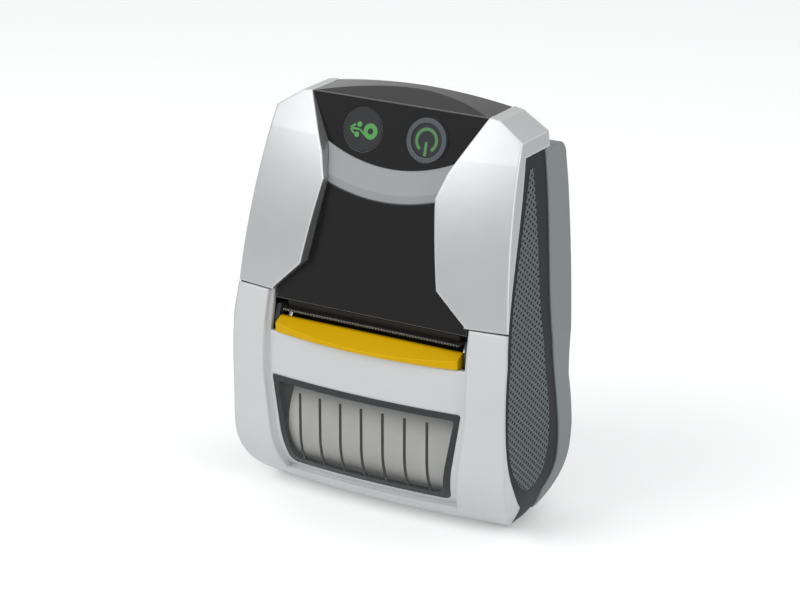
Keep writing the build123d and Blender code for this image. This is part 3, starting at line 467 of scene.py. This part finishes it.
# %% Tools for modelling by hand
def only(piece):
    """Select and activate one object, with everything else deselected."""
    bpy.ops.object.select_all(action="DESELECT")
    piece.select_set(True)
    bpy.context.view_layer.objects.active = piece


def added(name):
    """Name the active object, which is the primitive just added or the pieces just joined."""
    piece = bpy.context.object
    piece.name = name
    piece.data.name = name
    return piece


def select_where(piece, kind, test):
    """Go to edit mode with only the vertices or faces selected that pass the test."""
    bpy.ops.object.mode_set(mode="OBJECT")
    for part in (piece.data.vertices, piece.data.edges, piece.data.polygons):
        part.foreach_set("select", [False] * len(part))
    for item in {"VERT": piece.data.vertices, "FACE": piece.data.polygons}[kind]:
        item.select = test(item)
    bpy.ops.object.mode_set(mode="EDIT")
    bpy.ops.mesh.select_mode(type=kind)


def apply_modifier(piece, kind, **settings):
    """Add a modifier with its settings, and make its result the mesh."""
    only(piece)
    made = piece.modifiers.new(kind.lower(), kind)
    for key, value in settings.items():
        setattr(made, key, value)
    bpy.ops.object.modifier_apply(modifier=made.name)


def settle(piece):
    """Apply the object's place, turn and scale to its mesh."""
    only(piece)
    bpy.ops.object.transform_apply(location=True, rotation=True, scale=True)


print("tools ready")

# %% [markdown]
# Each side has a grip, a rubber mesh with diamond holes through which the dark frame shows.
# The holes could be painted on, but paint looks flat from the side, so they are cut for real.
# A sheet of diamonds is a grid turned by 45 degrees and stretched to the real pitch. Every face is
# inset and what is left inside it is deleted, and that leaves a net, which is given thickness.

# %% The diamond net
DIAMOND_DEPTH = 2.6 * MM
DIAMOND_HEIGHT = 2.2 * MM
NET_THREAD = 0.36 * MM
NET_SQUARES = 66
NET_HALF_DEPTH = 20 * MM
NET_END_GAP = 8 * MM
NET_THICKNESS = 20 * MM
NET_HALF_HEIGHT = (cad_box[1][2] - cad_box[0][2]) / 2 - NET_END_GAP
FLAT_TO_SIDE = Matrix(((0, 0, 1), (1, 0, 0), (0, 1, 0))).to_euler()


def past_the_grip(face):
    return abs(face.center.x) > NET_HALF_DEPTH or abs(face.center.y) > NET_HALF_HEIGHT


def diamond_net(name, centre):
    """A thick net in the plane of the printer's side, centred on a point."""
    bpy.ops.object.select_all(action="DESELECT")
    bpy.ops.mesh.primitive_grid_add(
        x_subdivisions=NET_SQUARES, y_subdivisions=NET_SQUARES, size=NET_SQUARES
    )
    net = added(name)
    net.rotation_euler = (0, 0, pi / 4)
    settle(net)
    net.scale = (DIAMOND_DEPTH * 0.5**0.5, DIAMOND_HEIGHT * 0.5**0.5, 1)
    settle(net)
    select_where(net, "FACE", past_the_grip)
    bpy.ops.mesh.delete(type="FACE")
    bpy.ops.mesh.select_all(action="SELECT")
    bpy.ops.mesh.inset(thickness=NET_THREAD, use_individual=True, use_even_offset=True)
    bpy.ops.mesh.delete(type="FACE")
    bpy.ops.object.mode_set(mode="OBJECT")
    apply_modifier(net, "SOLIDIFY", thickness=NET_THICKNESS, offset=0)
    net.rotation_euler = FLAT_TO_SIDE
    net.location = centre
    settle(net)
    return net


print("diamonds are", DIAMOND_DEPTH / MM, "by", DIAMOND_HEIGHT / MM, "mm")

# %% [markdown]
# A flat net doesn't follow the grip's bow or its outline. It could be bent with a lattice and
# trimmed, but the solid grip already has the right shape. So the thick net is kept only where it
# lies inside the grip. Such a cut needs a closed body, and the solids come as loose triangles, so
# it is made with a copy whose triangles are joined.

# %% Cut the nets to the grips
MERGE_DISTANCE = 0.002 * MM
FLAT_ANGLE = radians(0.5)


def merged_copy(node, name):
    """A copy of a solid's loose triangles, joined to a closed mesh with flat faces."""
    copy = frame["nodes"][node].copy()
    copy.data = frame["nodes"][node].data.copy()
    copy.name = name
    copy.data.name = name
    bpy.context.scene.collection.objects.link(copy)
    copy.hide_render = False
    copy.hide_set(False)
    only(copy)
    bpy.ops.object.mode_set(mode="EDIT")
    bpy.ops.mesh.select_all(action="SELECT")
    bpy.ops.mesh.remove_doubles(threshold=MERGE_DISTANCE)
    bpy.ops.mesh.dissolve_limited(angle_limit=FLAT_ANGLE)
    bpy.ops.object.mode_set(mode="OBJECT")
    return copy


for side_name in ("left", "right"):
    low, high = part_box(f"{side_name}_grip")
    middle = [(a + b) / 2 for a, b in zip(low, high)]
    net = diamond_net(f"{side_name}_net", middle)
    grip = merged_copy(f"{side_name}_grip", f"{side_name}_grip_pad")
    apply_modifier(net, "BOOLEAN", operation="INTERSECT", object=grip, solver="EXACT")
    bpy.data.objects.remove(grip)
    dress(net, finishes["grip_rubber"])
    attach(net, "printer")
    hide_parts(f"{side_name}_grip")
    print(side_name, "net has", len(net.data.polygons), "faces")

# %% [markdown]
# Each key carries one printed sign, built from strokes. A stroke could be a curve with a width,
# but here everything is a mesh in the end, so the strokes start as meshes. A ring, or a part of
# one, is a short edge spun round a centre: the first plane added loses two corners, and the edge
# that stays is laid across the ring.

# %% A ring stroke
RING_STEPS = 48
INK_MERGE = 0.001 * MM


def ring_stroke(radius, width, start, sweep, centre=(0, 0)):
    """A flat ring or part of one. Sizes are in millimetres, and a negative sweep turns left."""
    bpy.ops.object.select_all(action="DESELECT")
    bpy.ops.mesh.primitive_plane_add(size=1)
    stroke = added("stroke")
    select_where(stroke, "VERT", lambda point: point.co.y > 0)
    bpy.ops.mesh.delete(type="VERT")
    bpy.ops.object.mode_set(mode="OBJECT")
    inner, outer = sorted(stroke.data.vertices, key=lambda point: point.co.x)
    for point, reach in ((inner, radius - width / 2), (outer, radius + width / 2)):
        point.co = (reach * cos(start) * MM, reach * sin(start) * MM, 0)
    bpy.ops.object.mode_set(mode="EDIT")
    bpy.ops.mesh.select_all(action="SELECT")
    bpy.ops.mesh.spin(steps=RING_STEPS, angle=sweep, center=(0, 0, 0), axis=(0, 0, 1))
    bpy.ops.mesh.select_all(action="SELECT")
    bpy.ops.mesh.remove_doubles(threshold=INK_MERGE)
    bpy.ops.object.mode_set(mode="OBJECT")
    stroke.location = (centre[0] * MM, centre[1] * MM, 0)
    settle(stroke)
    return stroke


print("a ring has", RING_STEPS, "steps")

# %% [markdown]
# A straight stroke has round ends, as a pen leaves them. It could be a rectangle with two half
# discs, but a disc whose one half is moved along is the same shape in one piece.

# %% A straight stroke
DISC_POINTS = 24
JUST_PAST_MIDDLE = 1e-7


def line_stroke(start, end, width):
    """A flat line with round ends. Sizes are in millimetres."""
    along = Vector(end) - Vector(start)
    bpy.ops.object.select_all(action="DESELECT")
    bpy.ops.mesh.primitive_circle_add(vertices=DISC_POINTS, radius=width / 2 * MM, fill_type="NGON")
    stroke = added("stroke")
    select_where(stroke, "VERT", lambda point: point.co.x > JUST_PAST_MIDDLE)
    bpy.ops.transform.translate(value=(along.length * MM, 0, 0))
    bpy.ops.object.mode_set(mode="OBJECT")
    stroke.rotation_euler = (0, 0, along.angle_signed(Vector((1, 0))))
    stroke.location = (start[0] * MM, start[1] * MM, 0)
    settle(stroke)
    return stroke


print("a line ends in half of", DISC_POINTS, "points")

# %% [markdown]
# The signs lie on the button panel, which leans back. They could be drawn on the lean from the
# start, but flat drawing is easier to read. So the joined strokes get the thickness of ink, and
# are then turned to the lean and laid on the face of their key.

# %% Lay a sign on a key
INK_HEIGHT = 0.05 * MM
INK_LIFT = 0.002 * MM
PANEL_RUN = 5.3
PANEL_RISE = 18.7
PANEL_UP = Vector((0, PANEL_RUN, PANEL_RISE)).normalized()
PANEL_OUT = Vector((0, -PANEL_UP.z, PANEL_UP.y))
PANEL_FACING = Matrix((Vector((1, 0, 0)), PANEL_UP, PANEL_OUT)).transposed()


def symbol(name, strokes, node, finish, body):
    """Join strokes, make them as thick as ink, and lay them on the face of a key."""
    only(strokes[0])
    for stroke in strokes:
        stroke.select_set(True)
    bpy.ops.object.join()
    mark = added(name)
    select_where(mark, "FACE", lambda face: True)
    bpy.ops.mesh.normals_make_consistent(inside=False)
    bpy.ops.object.mode_set(mode="OBJECT")
    apply_modifier(mark, "SOLIDIFY", thickness=INK_HEIGHT, offset=1)
    low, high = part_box(node)
    middle = (Vector(low) + Vector(high)) / 2
    face = max((point.co - middle).dot(PANEL_OUT) for point in frame["nodes"][node].data.vertices)
    mark.rotation_euler = PANEL_FACING.to_euler()
    mark.location = middle + PANEL_OUT * (face + INK_LIFT)
    settle(mark)
    dress(mark, finish)
    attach(mark, body)
    print(name, "laid on", node, "with", len(mark.data.polygons), "faces")


print("panel leans back by", round(PANEL_RUN / PANEL_RISE, 2), "of its height")

# %% [markdown]
# The sign for paper feed shows the roll as a thick ring, the paper as an arrow that leaves it, and
# two rollers as dots above and below. A dot is a line so short that only its ends show.

# %% Paper feed sign
ARROW_WIDTH = 0.62
ROLLER_WIDTH = 1.65
ARROW_TIP = (-4.4, 0.35)
ARROW_BEND = (-1.0, 0.25)
feed_strokes = [
    ring_stroke(radius=1.68, width=1.45, start=0, sweep=2 * pi, centre=(2.7, 0.1)),
    line_stroke(ARROW_TIP, ARROW_BEND, ARROW_WIDTH),
    line_stroke(ARROW_BEND, (0.7, -1.0), ARROW_WIDTH),
    line_stroke(ARROW_TIP, (-2.8, 1.5), ARROW_WIDTH),
    line_stroke(ARROW_TIP, (-3.1, -1.0), ARROW_WIDTH),
    line_stroke((-1.31, 1.75), (-1.29, 1.75), ROLLER_WIDTH),
    line_stroke((-1.91, -1.4), (-1.89, -1.4), ROLLER_WIDTH),
]
symbol("feed_symbol", feed_strokes, "feed_button", ink_finish, "feed_key")

# %% [markdown]
# The sign for power is the usual broken ring with a bar in its gap. The gap faces down here, and
# the ring starts at one side of it and turns left to the other.

# %% Power sign
SIGN_WIDTH = 1.0
HALF_GAP = 34
power_strokes = [
    ring_stroke(
        radius=3.35, width=SIGN_WIDTH, start=radians(HALF_GAP - 90), sweep=-radians(360 - 2 * HALF_GAP)
    ),
    line_stroke((0, -0.9), (0, -4.3), SIGN_WIDTH),
]
symbol("power_symbol", power_strokes, "power_disc", faded_ink_finish, "power_key")

# %% [markdown]
# The printer stands on a pale floor that runs out to white. More light would make it white too,
# but would wash out the printer. So the floor glows a little, only for what the camera sees,
# mirrors show and windows let through, and as a lit surface it keeps the printer's shadow.

# %% Floor
FLOOR_SIZE = 12
FLOOR_SQUARES = 8
FLOOR_CLOUDS = 0.4
FLOOR_GLOW = 0.24


def background_ray(tree):
    """1 for what is seen, mirrored or looked through, and 0 for light on a surface."""
    camera_ray, glossy_ray, clear_ray = [
        tree.node("ShaderNodeLightPath", output=f"Is {kind} Ray")
        for kind in ("Camera", "Glossy", "Transmission")
    ]
    larger = {"operation": "MAXIMUM"}
    seen_or_mirrored = tree.node("ShaderNodeMath", larger, {0: camera_ray, 1: glossy_ray})
    return tree.node("ShaderNodeMath", larger, {0: seen_or_mirrored, 1: clear_ray})


bpy.ops.object.select_all(action="DESELECT")
bpy.ops.mesh.primitive_grid_add(
    x_subdivisions=FLOOR_SQUARES, y_subdivisions=FLOOR_SQUARES, size=FLOOR_SIZE
)
floor = added("floor")
floor_finish = Finish("pale floor")
floor_clouds = floor_finish.noise(FLOOR_CLOUDS)
floor_finish.set(
    Base_Color=floor_finish.mix(floor_clouds, (0.93, 0.93, 0.93, 1), (0.95, 0.95, 0.95, 1)),
    Roughness=0.8,
    Emission_Color=floor_finish.mix(background_ray(floor_finish), (0, 0, 0, 1), (1, 1, 1, 1)),
    Emission_Strength=FLOOR_GLOW,
)
dress(floor, floor_finish)
print("floor laid,", FLOOR_SIZE, "m wide")

# %% [markdown]
# The sky is white where it is seen or mirrored, and dimmer as a light. One white sky could do
# both, but it would light the shadow under the base away and make pale paint white.

# %% Sky
SKY_LIGHT = 0.47
world = bpy.data.worlds.new("studio")
bpy.context.scene.world = world
world.use_nodes = True
world.node_tree.nodes.clear()
sky = Tree(world.node_tree)
seen = sky.node("ShaderNodeBackground", inputs={"Color": (1, 1, 1, 1)})
lit = sky.node("ShaderNodeBackground", inputs={"Color": (0.97, 0.985, 1, 1), "Strength": SKY_LIGHT})
choice = sky.node("ShaderNodeMixShader", inputs={0: background_ray(sky), 1: lit, 2: seen})
sky.feed(sky.nodes.new("ShaderNodeOutputWorld"), {"Surface": choice})
print("sky lights with", SKY_LIGHT)

# %% [markdown]
# Three large soft lamps shape the printer: one from the front left, one along the right side and
# one from above. Small lamps would give it hard shadows. Together with the sky they give a level
# at which a colour renders about as it is written.

# %% Lamps
LAMP_AIM = Vector((0, 0, 0.065))


def lamp(name, place, size, watts):
    """A rectangular soft lamp that faces the middle of the printer."""
    data = bpy.data.lights.new(name, "AREA")
    data.shape = "RECTANGLE"
    data.size, data.size_y = size
    data.energy = watts
    made = bpy.data.objects.new(name, data)
    made.location = place
    made.rotation_euler = (LAMP_AIM - Vector(place)).to_track_quat("-Z", "Y").to_euler()
    bpy.context.scene.collection.objects.link(made)
    print(name, "has", watts, "W")


lamp("key_lamp", place=(-0.5, -0.7, 0.8), size=(0.8, 0.7), watts=5.2)
lamp("right_lamp", place=(0.9, -0.25, 0.45), size=(0.35, 0.8), watts=2.3)
lamp("top_lamp", place=(0.1, 0.3, 1.1), size=(0.9, 0.9), watts=2.4)
